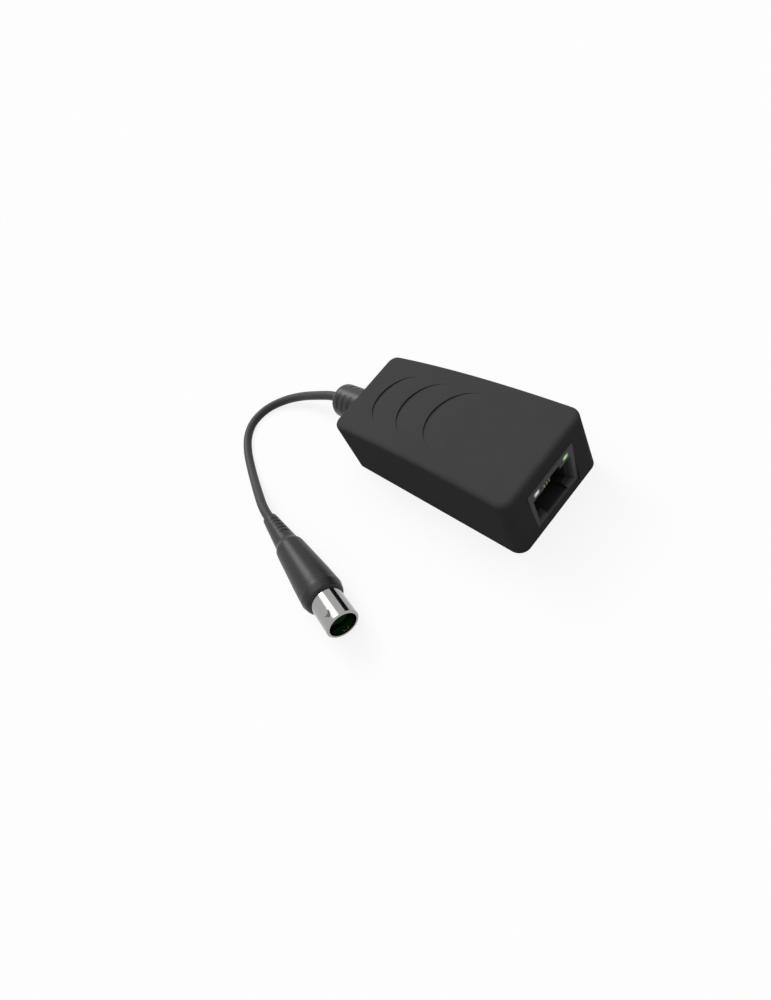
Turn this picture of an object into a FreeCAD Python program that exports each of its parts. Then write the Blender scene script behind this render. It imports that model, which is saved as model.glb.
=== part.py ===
import FreeCAD, Part
import math
import os
import Sketcher

# A passive ethernet over coax extender: a small moulded housing with an RJ45 socket in one end
# and, out of the other, a short coax lead that ends in a booted BNC socket.
#
# Frame, in millimetres: +Z up, z = 0 under the base, the housing centred on X and Y.
# The socket end is +X, the cable end is -X, and the lead loops round to -Y.

doc = FreeCAD.newDocument("ethernet_over_coax_extender")

SIZES = [
    # Housing
    ("housing_length", 65.4, "outside length at the base"),
    ("housing_width", 32.2, "outside width at the base"),
    ("housing_height", 20.2, "height at the two ends"),
    ("crown_rise", 1.8, "how far the middle of the top stands above its ends"),
    ("draft_angle", 3.1, "lean of the four walls, degrees"),
    ("corner_radius", 3.1, "radius of the four upright corners"),
    ("top_edge_radius", 1.5, "radius round the rim of the top"),
    ("wall", 2.0, "thickness of the walls"),
    ("ceiling", 2.0, "thickness of the top at its ends"),
    # Crescents let into the top
    ("crescent_start", -22.8, "x of the first crescent's deep edge"),
    ("crescent_pitch", 10.6, "from one deep edge to the next"),
    ("crescent_radius", 9.1, "radius of the first crescent"),
    ("crescent_growth", 0.4, "how much larger each next crescent is"),
    ("crescent_depth", 0.55, "depth at the deep edge"),
    ("crescent_slope", 1.2, "how steeply its floor runs out into the top, degrees"),
    ("crescent_margin", 1.0, "how far its cutter reaches past the run-out and over the top"),
    # Base cover
    ("cover_thickness", 1.6, "plate"),
    ("cover_ledge", 1.0, "how far the plate reaches under the walls"),
    ("cover_gap", 0.1, "between the plate's edge and the wall"),
    ("hook_width", 5.0, "snap hook, along the wall"),
    ("hook_thickness", 0.9, "snap hook"),
    ("hook_height", 8.8, "tip of the snap hook above the base"),
    ("hook_spacing", 30.0, "between the two hooks on one side"),
    ("hook_bite", 0.6, "how far the barb reaches into the wall"),
    ("barb_height", 1.4, "length of the barb"),
    # Circuit board
    ("board_underside", 4.4, "height of the board's underside"),
    ("board_thickness", 1.6, "circuit board"),
    ("board_side_gap", 0.2, "between the board and the snap hooks"),
    ("board_rear_gap", 0.15, "between the board and the stop ring on the lead"),
    ("board_end_gap", 0.55, "between the tips of the board's arms and the end wall"),
    ("post_diameter", 3.2, "posts that clamp the board"),
    ("pip_diameter", 1.6, "locating pip on each post"),
    ("pip_height", 1.4, "pip above the board"),
    ("post_front_inset", 3.6, "front posts behind the tips of the board's arms"),
    ("post_rear_inset", 3.9, "rear posts in from the board's rear edge"),
    ("post_gap", 0.5, "between the posts and the sides of the socket"),
    ("fit_gap", 0.15, "clearance of the located pieces"),
    # RJ45 socket
    ("jack_width", 16.8, "moulded socket body"),
    ("jack_height", 14.3, "moulded socket body"),
    ("jack_depth", 21.0, "moulded socket body"),
    ("jack_bottom", 1.75, "height of its underside"),
    ("jack_setback", 0.6, "its face behind the end of the base"),
    ("plug_way_width", 11.9, "way for the plug, across"),
    ("plug_way_height", 7.9, "way for the plug, floor to roof"),
    ("plug_way_depth", 14.0, "way for the plug, in from the face"),
    ("plug_way_floor", 2.85, "floor of the way above the socket's underside"),
    ("latch_way_width", 6.2, "groove for the plug's latch"),
    ("latch_way_rise", 1.8, "top of that groove above the way's roof"),
    ("latch_way_depth", 9.0, "groove for the latch, in from the face"),
    ("lead_in", 1.6, "flare at the mouth, in from the face"),
    ("lead_in_side", 1.2, "flare of the mouth's cheeks"),
    ("lead_in_floor", 1.4, "flare of the mouth's floor"),
    ("lead_in_roof", 0.4, "flare of the mouth's roof"),
    ("recess_width", 8.3, "recess in the floor before the contacts"),
    ("recess_floor", 0.8, "floor of that recess above the socket's underside"),
    ("recess_beyond", 1.1, "how far the recess reaches behind the contacts' folds"),
    ("contact_pitch", 1.02, "between neighbouring contacts"),
    ("contact_width", 0.5, "contact strip"),
    ("contact_thickness", 0.3, "contact strip"),
    ("contact_bend", 0.45, "bend radius on the strip's middle"),
    ("slot_gap", 0.05, "clearance each side of a contact in its slot"),
    ("contact_run_height", 1.5, "lower run above the socket's underside"),
    ("contact_nose", 4.4, "fold of the contacts behind the face"),
    ("contact_tip_back", 13.4, "free tips behind the face"),
    ("contact_tip_rise", 4.6, "free tips above the way's floor"),
    ("contact_exit_height", 5.8, "rear run above the socket's underside"),
    ("tail_row_near", 1.7, "first row of tails behind the socket"),
    ("tail_row_step", 1.8, "second row of tails behind the first"),
    ("tail_hole", 0.9, "holes in the board for the tails"),
    ("wing_width", 1.9, "ledge on each side of the socket"),
    ("wing_length", 9.0, "ledge on each side of the socket"),
    ("wing_thickness", 1.4, "ledge on each side of the socket"),
    ("lamp_width", 1.9, "lamp window"),
    ("lamp_height", 1.25, "lamp window"),
    ("lamp_side", 5.5, "y of the lamp windows"),
    ("lamp_drop", 1.0, "socket above the lamp window"),
    ("guide_depth", 1.9, "turned-down leg of a light guide, along x"),
    ("lamp_chip", 0.8, "height of the lamp chips on the board"),
    # Parts on the board
    ("transformer_length", 11.2, "line transformer, along x"),
    ("transformer_width", 9.2, "line transformer, across"),
    ("transformer_height", 5.6, "line transformer"),
    ("transformer_lift", 0.4, "its case above the board"),
    ("transformer_ahead", 4.8, "its middle ahead of the middle of the board's open length"),
    ("lead_pitch", 1.9, "between its leads"),
    ("lead_width", 0.6, "its leads"),
    ("lead_foot", 1.6, "how far its leads stand out"),
    ("lead_thickness", 0.3, "its leads"),
    ("choke_diameter", 7.4, "choke"),
    ("choke_height", 4.6, "choke"),
    ("choke_flange", 0.9, "each of its two flanges"),
    ("choke_waist", 4.6, "wound waist of the choke"),
    ("choke_inset", 9.9, "its middle in from the board's rear edge"),
    ("choke_side", 5.6, "y of its middle"),
    ("arrester_diameter", 5.2, "gas discharge tube"),
    ("arrester_length", 5.4, "gas discharge tube"),
    ("arrester_cap", 1.1, "its metal end caps"),
    ("arrester_lead", 0.6, "its wire leads"),
    ("capacitor_length", 7.2, "film capacitor"),
    ("capacitor_width", 2.5, "film capacitor"),
    ("capacitor_height", 5.2, "film capacitor"),
    ("capacitor_side", 9.2, "y of the two capacitors"),
    ("chip_length", 1.6, "chip resistor"),
    ("chip_width", 0.8, "chip resistor"),
    ("chip_height", 0.45, "chip resistor"),
    ("chip_gap", 1.0, "between a film capacitor and the first chip resistor"),
    ("chip_pitch", 1.5, "between chip resistors"),
    # Strain relief and lead
    ("relief_height", 7.8, "height of the strain relief's axis"),
    ("relief_length", 19.2, "strain relief outside the housing"),
    ("relief_diameter", 12.8, "strain relief at its shoulder"),
    ("relief_end_diameter", 11.8, "strain relief at its free end"),
    ("relief_neck", 8.0, "neck through the wall"),
    ("relief_flange", 11.0, "flange inside the wall"),
    ("relief_flange_thickness", 1.5, "flange inside the wall"),
    ("relief_grip", 2.7, "shoulder to flange"),
    ("relief_rounding", 2.4, "rounding of its free end"),
    ("relief_groove", 0.8, "width of its grooves"),
    ("relief_groove_depth", 0.9, "depth of its grooves"),
    ("relief_groove_first", 3.9, "first groove from its free end"),
    ("relief_groove_pitch", 1.5, "between its grooves"),
    ("relief_bridge", 8.6, "web left across each groove"),
    ("relief_groove_turn", 35.0, "turn of the grooves about its axis, degrees"),
    ("cable_diameter", 3.4, "coax lead"),
    ("insulation_diameter", 1.5, "dielectric of the coax lead"),
    ("conductor_diameter", 0.5, "centre conductor"),
    ("pigtail_diameter", 0.7, "twisted braid"),
    ("jacket_reach", 1.7, "end of the jacket inside, in from the board's rear edge"),
    ("crimp_ring_diameter", 5.0, "stop ring on the lead behind the flange"),
    ("crimp_ring_length", 3.0, "stop ring on the lead behind the flange"),
    ("saddle_thickness", 1.7, "saddle behind the flange"),
    ("saddle_width", 10.0, "saddle behind the flange"),
    # Boot of the plug, measured from its tail
    ("boot_length", 40.8, "boot, tail to front"),
    ("boot_tail_length", 15.3, "slotted tail"),
    ("boot_tail_diameter", 4.8, "tail at its end"),
    ("boot_tail_root", 7.7, "tail where the body starts"),
    ("boot_tail_bevel", 0.4, "bevel round the tail's end"),
    ("boot_shoulder", 9.3, "shoulder behind the tail"),
    ("boot_shoulder_length", 1.2, "rise of the shoulder"),
    ("boot_shoulder_rounding", 0.7, "rounding of the shoulder"),
    ("boot_body_end", 12.6, "body just behind the nose"),
    ("boot_swell_at", 31.5, "where the body's flare eases, from the tail"),
    ("boot_swell", 11.8, "body where its flare eases"),
    ("boot_nose_length", 2.7, "rounded nose"),
    ("boot_nose_radius", 4.5, "rounded nose"),
    ("boot_mouth", 10.0, "recess round the barrel in the front face"),
    ("boot_mouth_depth", 1.0, "recess round the barrel in the front face"),
    ("boot_slot", 0.7, "width of the slots in the tail"),
    ("boot_slot_depth", 0.5, "depth of the slots in the tail"),
    ("boot_slot_pitch", 2.0, "between the slots in the tail"),
    ("boot_slot_start", 3.0, "first slot from the end of the tail"),
    ("boot_slot_turn", 50.0, "turn of the two rows of slots, degrees"),
    # BNC socket, measured from its mouth
    ("barrel_diameter", 9.6, "outside of the barrel"),
    ("barrel_bore", 8.1, "inside of the barrel"),
    ("barrel_reach", 9.2, "barrel standing out of the boot"),
    ("barrel_bore_depth", 8.4, "mouth to the reference plane"),
    ("barrel_body", 18.0, "mouth to the back of the barrel"),
    ("barrel_edge", 0.25, "chamfer round the mouth"),
    ("stem_diameter", 5.0, "crimp stem behind the barrel"),
    ("stem_length", 8.8, "crimp stem behind the barrel"),
    ("ferrule_diameter", 6.2, "crimp ferrule"),
    ("ferrule_length", 10.6, "crimp ferrule"),
    ("lug_diameter", 2.0, "bayonet lug"),
    ("lug_span", 11.05, "over both lugs"),
    ("lug_setback", 3.0, "lug behind the mouth"),
    ("insulator_diameter", 6.3, "nose of the insulator"),
    ("insulator_seat", 5.2, "insulator in the barrel's back"),
    ("insulator_setback", 3.2, "nose behind the mouth"),
    ("insulator_tail", 17.0, "mouth to the insulator's back"),
    ("contact_diameter", 2.1, "centre contact"),
    ("contact_bore", 1.36, "hole of the centre contact"),
    ("contact_bore_depth", 5.0, "hole of the centre contact"),
    ("contact_setback", 3.6, "centre contact behind the mouth"),
    ("contact_back", 16.0, "mouth to the centre contact's back"),
    ("plug_roll", 10.0, "turn of the plug about its own axis, degrees"),
]

# The lead, point by point: out of the strain relief, down to the surface that the housing
# stands on, round one open bend and back up into the tail of the boot.
CABLE_ROUTE = [
    (-51.8, 0.0, 7.8),
    (-57.4, 0.0, 7.8),
    (-67.4, -2.0, 6.2),
    (-78.4, -4.2, 4.0),
    (-88.8, -8.6, 2.3),
    (-95.6, -15.6, 1.7),
    (-96.4, -23.8, 1.7),
    (-91.8, -30.3, 1.7),
    (-84.4, -35.3, 1.7),
    (-75.8, -39.4, 1.7),
    (-66.6, -42.9, 2.4),
    (-56.4, -45.8, 4.7),
    (-46.5, -48.74, 6.3),
    (-40.87, -49.63, 6.3),
]

sheet = doc.addObject("Spreadsheet::Sheet", "Dimensions")
for row, (alias, value, meaning) in enumerate(SIZES, start=1):
    sheet.set(f"A{row}", alias)
    sheet.set(f"B{row}", str(value))
    sheet.set(f"C{row}", meaning)
    sheet.setAlias(f"B{row}", alias)
doc.recompute()


class Size:
    """A measure that keeps its number together with the expression that gives it."""

    def __init__(self, value, text):
        self.value = value
        self.text = text

    def __add__(self, other):
        return Size(self.value + number(other), f"({self.text} + {words(other)})")

    def __sub__(self, other):
        return Size(self.value - number(other), f"({self.text} - {words(other)})")

    def __mul__(self, other):
        return Size(self.value * number(other), f"({self.text} * {words(other)})")

    def __truediv__(self, other):
        return Size(self.value / number(other), f"({self.text} / {words(other)})")

    def __rtruediv__(self, other):
        return Size(float(other), words(other)) / self

    def __radd__(self, other):
        return Size(float(other), words(other)) + self

    def __rsub__(self, other):
        return Size(float(other), words(other)) - self

    def __rmul__(self, other):
        return self * other

    def __neg__(self):
        return Size(-self.value, f"(0 - {self.text})")


def number(measure):
    return measure.value if isinstance(measure, Size) else float(measure)


def words(measure):
    return measure.text if isinstance(measure, Size) else repr(float(measure))


def tangent(angle):
    return Size(math.tan(math.radians(angle.value)), f"tan({angle.text} * 1 deg)")


def root(square):
    return Size(math.sqrt(square.value), f"sqrt({square.text})")


class Sheet:
    """The sheet's cells by name."""

    def __getattr__(self, alias):
        return Size(float(sheet.get(alias)), f"Dimensions.{alias}")


d = Sheet()


def vector(x, y, z):
    return FreeCAD.Vector(number(x), number(y), number(z))


def place(thing, x, y, z):
    """Puts an object at a point whose coordinates follow the sheet."""
    thing.Placement.Base = vector(x, y, z)
    for axis, measure in zip("xyz", (x, y, z)):
        thing.setExpression(f"Placement.Base.{axis}", words(measure))
    return thing


def block(name, lengths, corner):
    """A box from its three lengths and its lowest corner."""
    box = doc.addObject("Part::Box", name)
    for side, measure in zip(("Length", "Width", "Height"), lengths):
        setattr(box, side, number(measure))
        box.setExpression(side, words(measure))
    return place(box, *corner)


TURN_TO = {
    "X": FreeCAD.Rotation(FreeCAD.Vector(0, 1, 0), 90),
    "Y": FreeCAD.Rotation(FreeCAD.Vector(1, 0, 0), -90),
    "Z": FreeCAD.Rotation(),
}


def rod(name, diameter, length, start, along="Z"):
    """A cylinder that starts at a point and runs along +X, +Y or +Z."""
    cylinder = doc.addObject("Part::Cylinder", name)
    cylinder.Radius = number(diameter) / 2
    cylinder.setExpression("Radius", words(diameter / 2))
    cylinder.Height = number(length)
    cylinder.setExpression("Height", words(length))
    cylinder.Placement.Rotation = TURN_TO[along]
    return place(cylinder, *start)


def fused(name, parts):
    union = doc.addObject("Part::MultiFuse", name)
    union.Shapes = parts
    union.Refine = True
    return union


def cut_from(name, base, tools):
    """The base with every tool taken out of it."""
    result = doc.addObject("Part::Cut", name)
    result.Base = base
    result.Tool = tools[0] if len(tools) == 1 else fused(name + "_tools", tools)
    result.Refine = True
    return result


def labelled(thing, label):
    thing.Label = label
    return thing


def new_body(name):
    return doc.addObject("PartDesign::Body", name + "_body")


def origin_plane(body, role):
    return next(f for f in body.Origin.OriginFeatures if f.Role == role)


def sketch_on(body, name, role):
    sketch = body.newObject("Sketcher::SketchObject", name)
    sketch.AttachmentSupport = [(origin_plane(body, role), "")]
    sketch.MapMode = "FlatFace"
    return sketch


def hold_distance(sketch, kind, point, measure):
    """Ties a point's distance from the sketch's origin to the sheet."""
    constraint = Sketcher.Constraint(kind, -1, 1, point[0], point[1], number(measure))
    index = sketch.addConstraint(constraint)
    sketch.setExpression(f"Constraints[{index}]", words(measure))


def outline(body, name, role, points, arcs=None):
    """A closed outline through points on the sketch's plane.

    Its sides are straight, except those that arcs lists by number with a radius: they bulge
    to the left of their way.
    """
    arcs = arcs or {}
    sketch = sketch_on(body, name, role)
    corners = [vector(x, y, 0) for x, y in points]
    for i, (start, end) in enumerate(zip(corners, corners[1:] + corners[:1])):
        if i in arcs:
            chord = end - start
            radius = number(arcs[i])
            rise = radius - math.sqrt(radius**2 - chord.Length**2 / 4)
            left = FreeCAD.Vector(-chord.y, chord.x, 0).normalize()
            arc = Part.Arc(start, start + chord / 2 + left * rise, end)
            sketch.addGeometry(arc, False)
        else:
            sketch.addGeometry(Part.LineSegment(start, end), False)
    # Part.Arc turns an arc that runs clockwise round, so its two ends change places.
    ends = [(2, 1) if i in arcs else (1, 2) for i in range(len(points))]
    for i in range(len(points)):
        following = (i + 1) % len(points)
        joint = Sketcher.Constraint("Coincident", i, ends[i][1], following, ends[following][0])
        sketch.addConstraint(joint)
        hold_distance(sketch, "DistanceX", (i, ends[i][0]), points[i][0])
        hold_distance(sketch, "DistanceY", (i, ends[i][0]), points[i][1])
    for i, radius in arcs.items():
        index = sketch.addConstraint(Sketcher.Constraint("Radius", i, number(radius)))
        sketch.setExpression(f"Constraints[{index}]", words(radius))
    return sketch


def rectangle(body, name, length, width):
    """A rectangle centred on the body's XY plane."""
    x, y = length / 2, width / 2
    return outline(body, name, "XY_Plane", [(-x, -y), (x, -y), (x, y), (-x, y)])


def edge_names(shape, wanted):
    return [f"Edge{i}" for i, edge in enumerate(shape.Edges, start=1) if wanted(edge)]


def rounded(body, name, radius, wanted):
    """Rounds the edges of the body's last feature that pass the test."""
    doc.recompute()
    last = body.Tip
    fillet = body.newObject("PartDesign::Fillet", name)
    fillet.Base = (last, edge_names(last.Shape, wanted))
    fillet.Radius = number(radius)
    fillet.setExpression("Radius", words(radius))
    return fillet


def is_upright(edge):
    low, high = edge.Vertexes[0].Z, edge.Vertexes[-1].Z
    return abs(high - low) > 1.0


def turned(label, profile, roundings=(), arcs=None):
    """A body turned about its X axis from (x, radius) points, with some rims rounded."""
    body = new_body(label)
    sketch = outline(body, label + "_profile", "XZ_Plane", profile, arcs)
    revolution = body.newObject("PartDesign::Revolution", label + "_turn")
    revolution.Profile = sketch
    revolution.ReferenceAxis = (sketch, ["H_Axis"])
    revolution.Angle = 360
    for count, (x, radius, rounding) in enumerate(roundings):

        def is_rim(edge, x=number(x), radius=number(radius)):
            curve = edge.Curve
            if not isinstance(curve, Part.Circle):
                return False
            return abs(curve.Center.x - x) < 1e-4 and abs(curve.Radius - radius) < 1e-4

        rounded(body, f"{label}_rounding_{count}", rounding, is_rim)
    return body


def drafted_pad(body, name, sketch, height):
    pad = body.newObject("PartDesign::Pad", name)
    pad.Profile = sketch
    pad.Length = number(height)
    pad.setExpression("Length", words(height))
    pad.TaperAngle = -number(d.draft_angle)
    pad.setExpression("TaperAngle", words(-d.draft_angle))
    return pad


def upward_pocket(body, name, sketch, depth, drafted=False):
    """A pocket cut up from the body's base plane."""
    pocket = body.newObject("PartDesign::Pocket", name)
    pocket.Profile = sketch
    pocket.Reversed = True
    pocket.Length = number(depth)
    pocket.setExpression("Length", words(depth))
    if drafted:
        pocket.TaperAngle = -number(d.draft_angle)
        pocket.setExpression("TaperAngle", words(-d.draft_angle))
    return pocket


# Places that several pieces share

lean = tangent(d.draft_angle)
crown_top = d.housing_height + d.crown_rise
crown_radius = (d.housing_length * d.housing_length / 4 + d.crown_rise * d.crown_rise) / (
    2 * d.crown_rise
)
crown_centre = crown_top - crown_radius
ceiling_height = d.housing_height - d.ceiling
board_top = d.board_underside + d.board_thickness
jack_face = d.housing_length / 2 - d.jack_setback
jack_back = jack_face - d.jack_depth
jack_top = d.jack_bottom + d.jack_height
way_floor = d.jack_bottom + d.plug_way_floor
way_roof = way_floor + d.plug_way_height
lamp_bottom = jack_top - d.lamp_drop - d.lamp_height
hook_face = d.housing_width / 2 - d.wall - d.hook_height * lean - d.cover_gap
relief_bottom = d.relief_height - d.relief_diameter / 2
relief_shoulder = -(d.housing_length / 2 - relief_bottom * lean)
stop_ring_start = relief_shoulder + d.relief_grip + d.relief_flange_thickness
board_rear = stop_ring_start + d.crimp_ring_length + d.board_rear_gap
board_front = d.housing_length / 2 - d.wall - board_top * lean - d.board_end_gap
board_side = hook_face - d.hook_thickness - d.board_side_gap
post_side = d.jack_width / 2 + d.post_gap + d.post_diameter / 2
post_places = [
    (x, side * post_side)
    for x in (board_front - d.post_front_inset, board_rear + d.post_rear_inset)
    for side in (1, -1)
]
transformer_place = (board_rear + jack_back) / 2 + d.transformer_ahead
choke_place = board_rear + d.choke_inset
jacket_end = board_rear + d.jacket_reach
hook_places = [
    (x, side)
    for x in (d.hook_spacing / 2, -d.hook_spacing / 2)
    for side in (1, -1)
]


def top_height(x):
    """Height of the crowned top above a place along its length."""
    return crown_centre + root(crown_radius * crown_radius - x * x)


def plate_body(name, length, width, thickness, corner):
    """A plate with rounded corners on the body's XY plane."""
    body = new_body(name)
    pad = body.newObject("PartDesign::Pad", name + "_plate")
    pad.Profile = rectangle(body, name + "_outline", length, width)
    pad.Length = number(thickness)
    pad.setExpression("Length", words(thickness))
    rounded(body, name + "_corners", corner, is_upright)
    return body


def housing_shell():
    """The moulded shell: drafted walls, crowned top, open below."""
    body = new_body("housing")
    base = rectangle(body, "housing_base", d.housing_length, d.housing_width)
    drafted_pad(body, "housing_block", base, crown_top + 1)
    rounded(body, "housing_corners", d.corner_radius, is_upright)

    overrun = 2.0
    reach = d.housing_length / 2 + overrun
    shoulder = crown_centre + root(crown_radius * crown_radius - reach * reach)
    above = crown_top + overrun
    crown = sketch_on(body, "housing_crown", "XZ_Plane")
    half_angle = math.asin(number(reach) / number(crown_radius))
    circle = Part.Circle(vector(0, crown_centre, 0), vector(0, 0, 1), number(crown_radius))
    start, end = math.pi / 2 - half_angle, math.pi / 2 + half_angle
    crown.addGeometry(Part.ArcOfCircle(circle, start, end), False)
    corners = [
        vector(-reach, shoulder, 0),
        vector(-reach, above, 0),
        vector(reach, above, 0),
        vector(reach, shoulder, 0),
    ]
    for a, b in zip(corners, corners[1:]):
        crown.addGeometry(Part.LineSegment(a, b), False)
    for first, second in ((0, 1), (1, 2), (2, 3), (3, 0)):
        crown.addConstraint(Sketcher.Constraint("Coincident", first, 2, second, 1))
    for kind, line in (("Vertical", 1), ("Horizontal", 2), ("Vertical", 3)):
        crown.addConstraint(Sketcher.Constraint(kind, line))
    crown.addConstraint(Sketcher.Constraint("PointOnObject", 0, 3, -2))
    hold_distance(crown, "DistanceY", (0, 3), crown_centre)
    hold_distance(crown, "DistanceX", (1, 2), -reach)
    hold_distance(crown, "DistanceX", (3, 1), reach)
    hold_distance(crown, "DistanceY", (2, 1), above)
    index = crown.addConstraint(Sketcher.Constraint("Radius", 0, number(crown_radius)))
    crown.setExpression(f"Constraints[{index}]", words(crown_radius))
    trim = body.newObject("PartDesign::Pocket", "housing_crown_trim")
    trim.Profile = crown
    trim.SideType = "Symmetric"
    trim.Length = number(2 * d.housing_width)
    trim.setExpression("Length", words(2 * d.housing_width))

    rim = number(d.housing_height) - 1
    rounded(
        body,
        "housing_rim",
        d.top_edge_radius,
        lambda edge: min(v.Z for v in edge.Vertexes) > rim,
    )

    inside_length = d.housing_length - 2 * d.wall
    inside_width = d.housing_width - 2 * d.wall
    cavity = rectangle(body, "housing_inside", inside_length, inside_width)
    upward_pocket(body, "housing_cavity", cavity, ceiling_height, drafted=True)
    near = number(inside_length) / 2 + 0.1
    rounded(
        body,
        "housing_inside_corners",
        d.corner_radius - d.wall,
        lambda edge: is_upright(edge) and abs(edge.Vertexes[0].X) < near,
    )
    return body


def crescent_cutter(index):
    """A disc with a rounded underside, which digs a crescent that fades out into the top."""
    radius = d.crescent_radius + index * d.crescent_growth
    deep_edge = d.crescent_start + index * d.crescent_pitch
    run_out = deep_edge + radius
    slope = tangent(d.crescent_slope)
    bend = 2 * (d.crescent_depth - radius * slope) / (radius * radius)
    floor_radius = 1 / (1 / crown_radius + bend)
    offset = floor_radius * (run_out / crown_radius - slope)
    drop = root(floor_radius * floor_radius - offset * offset)
    bottom = top_height(deep_edge) - 2 * d.crescent_depth
    disc_height = crown_top + d.crescent_margin - bottom
    count = index + 1
    disc = rod(f"crescent_disc_{count}", 2 * radius, disc_height, (run_out, 0, bottom))
    floor = rod(
        f"crescent_floor_{count}",
        2 * floor_radius,
        2 * (radius + d.crescent_margin),
        (run_out - offset, -(radius + d.crescent_margin), top_height(run_out) - drop),
        "Y",
    )
    far_corner = (run_out + d.crescent_margin, -(radius + d.crescent_margin), bottom)
    far_size = (radius, 2 * (radius + d.crescent_margin), disc_height)
    far_side = block(f"crescent_far_side_{count}", far_size, far_corner)
    return cut_from(f"crescent_cutter_{count}", disc, [floor, far_side])


def make_housing():
    shell = housing_shell()
    additions = [shell]
    cutters = [crescent_cutter(i) for i in range(3)]
    rim = d.wall - d.cover_ledge
    seat_length, seat_width = d.housing_length - 2 * rim, d.housing_width - 2 * rim
    seat_corner = d.corner_radius - rim
    cutters.append(
        plate_body("cover_seat", seat_length, seat_width, d.cover_thickness, seat_corner)
    )
    for count, (x, y) in enumerate(post_places, start=1):
        stem_height = ceiling_height + 0.5 - board_top
        additions.append(rod(f"hold_down_{count}", d.post_diameter, stem_height, (x, y, board_top)))
        socket = d.pip_diameter + 2 * d.fit_gap
        depth = d.pip_height + 2 * d.fit_gap
        cutters.append(rod(f"hold_down_socket_{count}", socket, depth, (x, y, board_top)))
    for count, (x, side) in enumerate(hook_places, start=1):
        window_width = d.hook_width + 2 * d.fit_gap
        window_height = d.barb_height + 2 * d.fit_gap
        window_depth = d.hook_bite + 2 * d.fit_gap
        inner = hook_face if side > 0 else -hook_face - window_depth
        corner = (x - window_width / 2, inner, d.hook_height - d.barb_height - d.fit_gap)
        cutters.append(
            block(f"hook_window_{count}", (window_width, window_depth, window_height), corner)
        )
    port_width = d.jack_width + 2 * d.slot_gap
    port_height = jack_top + d.slot_gap - d.cover_thickness
    port_corner = (d.housing_length / 2 - 2 * d.wall, -port_width / 2, d.cover_thickness)
    cutters.append(block("port_opening", (3 * d.wall, port_width, port_height), port_corner))
    hole_start = (-(d.housing_length / 2 + d.wall), 0, d.relief_height)
    cutters.append(rod("relief_hole", d.relief_neck, 4 * d.wall, hole_start, "X"))
    whole = fused("housing_with_posts", additions)
    return labelled(cut_from("housing", whole, cutters), "housing")


def make_base_cover():
    """The snap-in base: plate, board posts, snap hooks and the saddle behind the flange."""
    inset = d.wall - d.cover_ledge + d.cover_gap
    plate_length, plate_width = d.housing_length - 2 * inset, d.housing_width - 2 * inset
    corner = d.corner_radius - inset
    body = plate_body("base_cover", plate_length, plate_width, d.cover_thickness, corner)
    parts = [body]
    for count, (x, y) in enumerate(post_places, start=1):
        height = d.board_underside - d.cover_thickness
        parts.append(rod(f"board_post_{count}", d.post_diameter, height, (x, y, d.cover_thickness)))
        pip = d.board_thickness + d.pip_height
        parts.append(rod(f"board_pip_{count}", d.pip_diameter, pip, (x, y, d.board_underside)))
    for count, (x, side) in enumerate(hook_places, start=1):
        inner = hook_face - d.hook_thickness if side > 0 else -hook_face
        tongue_size = (d.hook_width, d.hook_thickness, d.hook_height - d.cover_thickness)
        corner_at = (x - d.hook_width / 2, inner, d.cover_thickness)
        parts.append(block(f"snap_tongue_{count}", tongue_size, corner_at))
        barb = doc.addObject("Part::Wedge", f"snap_barb_{count}")
        wedge_sizes = {
            "Xmin": 0,
            "Ymin": 0,
            "Zmin": 0,
            "X2min": 0,
            "Z2min": 0,
            "Xmax": d.hook_width,
            "Ymax": d.barb_height,
            "Zmax": d.hook_bite,
            "X2max": d.hook_width,
            "Z2max": d.hook_bite / 4,
        }
        for key, measure in wedge_sizes.items():
            setattr(barb, key, number(measure))
            barb.setExpression(key, words(measure))
        lift = d.hook_height - d.barb_height
        if side > 0:
            barb.Placement.Rotation = FreeCAD.Rotation(vector(0, 1, 1), 180)
            place(barb, x + d.hook_width / 2, hook_face, lift)
        else:
            barb.Placement.Rotation = FreeCAD.Rotation(vector(1, 0, 0), 90)
            place(barb, x - d.hook_width / 2, -hook_face, lift)
        parts.append(barb)
    saddle_front = stop_ring_start + d.cover_gap
    saddle_size = (d.saddle_thickness, d.saddle_width, d.relief_height - d.cover_thickness)
    parts.append(
        block("relief_saddle", saddle_size, (saddle_front, -d.saddle_width / 2, d.cover_thickness))
    )
    groove_start = (saddle_front - d.wall, 0, d.relief_height)
    groove_width = d.crimp_ring_diameter + 2 * d.fit_gap
    groove = rod("saddle_groove", groove_width, 3 * d.wall, groove_start, "X")
    return labelled(cut_from("base_cover", fused("base_cover_parts", parts), [groove]), "base_cover")


def make_board():
    """The circuit board, forked round the socket, with its post and tail holes."""
    size = (board_front - board_rear, 2 * board_side, d.board_thickness)
    board = block("board_blank", size, (board_rear, -board_side, d.board_underside))
    notch_width = d.jack_width + 2 * d.fit_gap
    notch_corner = (jack_back - d.fit_gap, -notch_width / 2, d.board_underside - 1)
    notch_size = (d.jack_depth + 2 * d.wall, notch_width, d.board_thickness + 2)
    tools = [block("board_notch", notch_size, notch_corner)]
    hole = d.pip_diameter + 2 * d.fit_gap
    depth = d.board_thickness + 2
    for count, (x, y) in enumerate(post_places, start=1):
        tools.append(rod(f"board_hole_{count}", hole, depth, (x, y, d.board_underside - 1)))
    for index in range(8):
        x, y = tail_place(index)
        start = (x, y, d.board_underside - 1)
        tools.append(rod(f"tail_hole_{index + 1}", d.tail_hole, depth, start))
    return labelled(cut_from("circuit_board", board, tools), "circuit_board")


def contact_side(index):
    return (index - 3.5) * d.contact_pitch


def tail_place(index):
    """Where a contact's tail goes through the board: two staggered rows."""
    return jack_back - d.tail_row_near - (index % 2) * d.tail_row_step, contact_side(index)


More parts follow.
